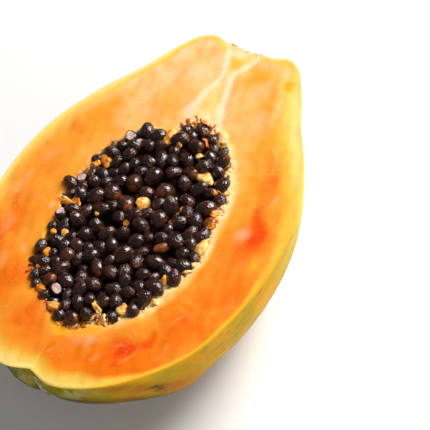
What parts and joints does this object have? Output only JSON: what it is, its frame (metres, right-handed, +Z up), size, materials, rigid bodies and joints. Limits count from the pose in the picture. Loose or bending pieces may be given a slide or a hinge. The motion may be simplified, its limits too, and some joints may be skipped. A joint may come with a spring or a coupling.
{
  "type": "papaya half",
  "caption": "Half of a ripe papaya, cut lengthwise, lying on its rounded back with the cut face up; dark seeds heaped in the oval seed hollow.",
  "frame": {"origin": "on the ground under the middle of the bounding box", "axes": "+X along the fruit to the stem end, +Y across the cut face, +Z up out of the cut face"},
  "size_m": [0.1623, 0.1202, 0.0561],
  "materials": {
    "flesh": "moist orange flesh, yellow-green rind",
    "seeds": "wet dark brown seeds"
  },
  "bodies": {
    "root": {"flesh": "flesh", "seeds": "seeds"}
  },
  "joints": []
}
